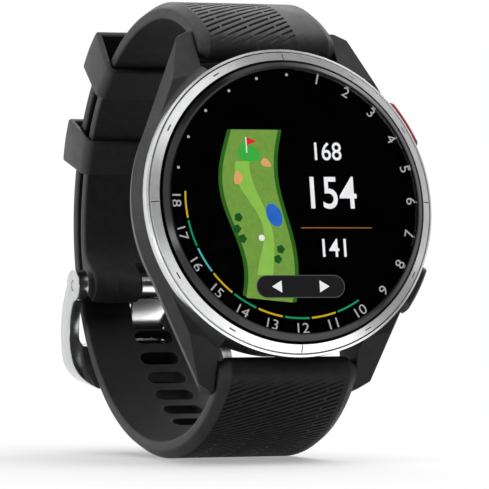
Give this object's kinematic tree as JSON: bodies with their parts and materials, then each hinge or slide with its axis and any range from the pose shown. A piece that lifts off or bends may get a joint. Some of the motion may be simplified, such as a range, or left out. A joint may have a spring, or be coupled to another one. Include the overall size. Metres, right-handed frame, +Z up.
{
  "type": "golf watch",
  "caption": "Round sports watch for golf with a steel bezel, side buttons, quick-release spring bars and a buckled grooved silicone strap with sliding keepers.",
  "frame": {"origin": "middle of the rear cover's outer face, which is the face against the wrist", "axes": "+X towards 3 o'clock, +Y away from the dial towards the buckle, +Z up; the dial leans back from the vertical, as the watch stands on its buckled strap"},
  "size_m": [0.0424, 0.0587, 0.0612],
  "materials": {
    "case_polymer": "fine matt grain",
    "bezel_steel": "brushed face with a polished inner edge",
    "lens_glass": "polished",
    "seal_rubber": "smooth",
    "display_black": "gloss",
    "flex_film": "smooth film",
    "antenna_metal": "plated",
    "frame_polymer": "moulded",
    "board_green": "satin",
    "chip_black": "matt",
    "battery_foil": "foil",
    "motor_steel": "plated",
    "switch_white": "moulded",
    "cover_polymer": "fine matt grain",
    "bar_steel": "turned",
    "socket_black": "moulded",
    "contact_gold": "plated",
    "strap_silicone": "soft matt with fine slanted grooves",
    "button_black": "satin",
    "button_red": "satin",
    "buckle_steel": "polished"
  },
  "bodies": {
    "case": {"case_body": "case_polymer", "bezel": "bezel_steel", "lens": "lens_glass", "lens_gasket": "seal_rubber", "display_module": "display_black", "display_flex": "flex_film", "antenna_ring": "antenna_metal", "inner_frame": "frame_polymer", "main_board": "board_green", "board_chips": "chip_black", "battery": "battery_foil", "battery_pad": "seal_rubber", "vibration_motor": "motor_steel", "button_switches": "switch_white", "rear_cover": "cover_polymer", "rear_gasket": "seal_rubber", "rear_screws": "bar_steel", "charge_socket": "socket_black", "charge_contacts": "contact_gold", "upper_strap": "strap_silicone", "lower_strap": "strap_silicone", "upper_bar_tube": "bar_steel", "lower_bar_tube": "bar_steel", "upper_bar_pin": "bar_steel", "lower_bar_pin": "bar_steel", "upper_bar_spring": "bar_steel", "lower_bar_spring": "bar_steel", "buckle_pin": "buckle_steel"},
    "upper_button": {"upper_button": "button_black", "upper_button_face": "button_red", "upper_button_stem": "bar_steel", "upper_button_seal": "seal_rubber", "upper_button_clip": "bar_steel"},
    "lower_button": {"lower_button": "button_black", "lower_button_stem": "bar_steel", "lower_button_seal": "seal_rubber", "lower_button_clip": "bar_steel"},
    "upper_lever": {"upper_bar_lever": "bar_steel"},
    "lower_lever": {"lower_bar_lever": "bar_steel"},
    "upper_keeper": {"upper_keeper": "strap_silicone"},
    "lower_keeper": {"lower_keeper": "strap_silicone"},
    "buckle_frame": {"buckle_frame": "buckle_steel"},
    "buckle_tang": {"buckle_tang": "buckle_steel"}
  },
  "joints": [
    {"name": "upper_button_press", "type": "slide", "parent": "case", "child": "upper_button", "axis": [-0.8572, -0.0832, -0.5083], "range_m": [0, 0.0005], "stiffness_N_per_m": 2000, "springref_m": -0.0003},
    {"name": "lower_button_press", "type": "slide", "parent": "case", "child": "lower_button", "axis": [-0.8572, 0.0832, 0.5083], "range_m": [0, 0.0005], "stiffness_N_per_m": 2000, "springref_m": -0.0003},
    {"name": "upper_lever_slide", "type": "slide", "parent": "case", "child": "upper_lever", "axis": [-1, 0, 0], "range_m": [0, 0.0013], "stiffness_N_per_m": 900, "springref_m": -0.0006, "deforming": ["upper_bar_spring"]},
    {"name": "lower_lever_slide", "type": "slide", "parent": "case", "child": "lower_lever", "axis": [-1, 0, 0], "range_m": [0, 0.0013], "stiffness_N_per_m": 900, "springref_m": -0.0006, "deforming": ["lower_bar_spring"]},
    {"name": "upper_keeper_slip", "type": "hinge", "parent": "case", "child": "upper_keeper", "pos_m": [0, 0.01011, -0.00166], "axis": [1, 0, 0], "range_deg": [-4, 26]},
    {"name": "lower_keeper_slip", "type": "hinge", "parent": "case", "child": "lower_keeper", "pos_m": [0, 0.01011, -0.00166], "axis": [1, 0, 0], "range_deg": [-20, 4]},
    {"name": "buckle_frame_turn", "type": "hinge", "parent": "case", "child": "buckle_frame", "pos_m": [0, 0.03646, -0.00951], "axis": [1, 0, 0], "range_deg": [0, 8]},
    {"name": "buckle_tang_turn", "type": "hinge", "parent": "case", "child": "buckle_tang", "pos_m": [0, 0.03646, -0.00951], "axis": [1, 0, 0], "range_deg": [0, 8]}
  ],
  "couplings": [
    {"joint": "buckle_tang_turn", "follows": "buckle_frame_turn", "ratio": 1}
  ]
}
